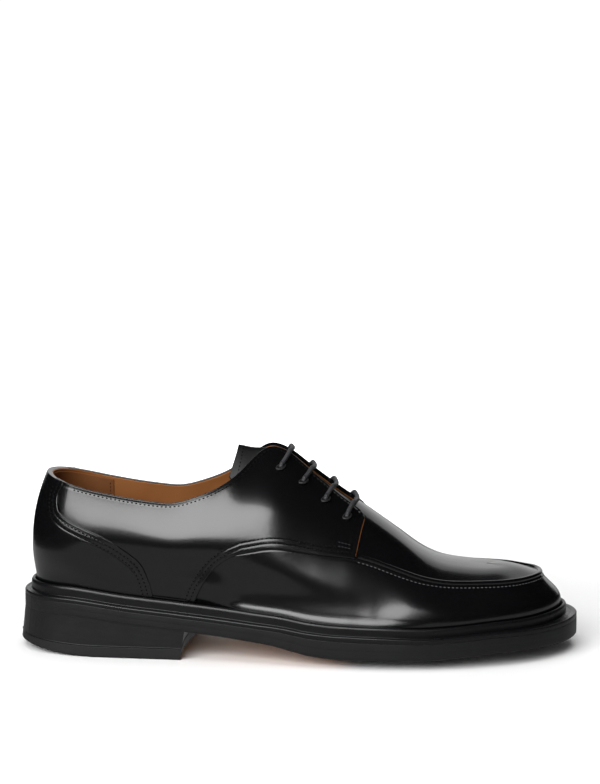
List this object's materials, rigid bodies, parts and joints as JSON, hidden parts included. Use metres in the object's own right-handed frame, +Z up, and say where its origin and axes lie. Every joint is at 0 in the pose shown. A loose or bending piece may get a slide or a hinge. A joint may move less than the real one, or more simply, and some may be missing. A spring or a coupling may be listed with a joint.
{
  "type": "derby shoe",
  "caption": "Black leather derby shoe with a raised apron seam round the toe, open lacing, storm welt and stacked heel.",
  "frame": {"origin": "on the floor, under the centre of the shoe's bounding box", "axes": "+X to the toe, +Y to the inner (medial) side, +Z up"},
  "size_m": [0.3104, 0.1052, 0.1131],
  "materials": {
    "outsole": "black sole edge, satin",
    "midsole": "black waxed edge, satin",
    "storm_welt": "black, satin",
    "heel_stack": "black waxed edge, satin",
    "heel_top_piece": "black, matt",
    "insole": "tan, matt",
    "upper": "black smooth leather, polished",
    "quarters": "black smooth leather, polished",
    "counter": "black smooth leather, polished",
    "apron_seam": "black, satin",
    "tongue": "black, satin",
    "lace": "waxed cotton, charcoal"
  },
  "bodies": {
    "root": {"outsole": "outsole", "midsole": "midsole", "storm_welt": "storm_welt", "heel_stack": "heel_stack", "heel_top_piece": "heel_top_piece", "insole": "insole", "upper": "upper", "quarter_lateral": "quarters", "quarter_medial": "quarters", "counter": "counter", "apron_seam": "apron_seam", "tongue": "tongue", "lace_bar_1": "lace", "lace_bar_2": "lace", "lace_bar_3": "lace", "lace_bar_4": "lace"}
  },
  "joints": []
}
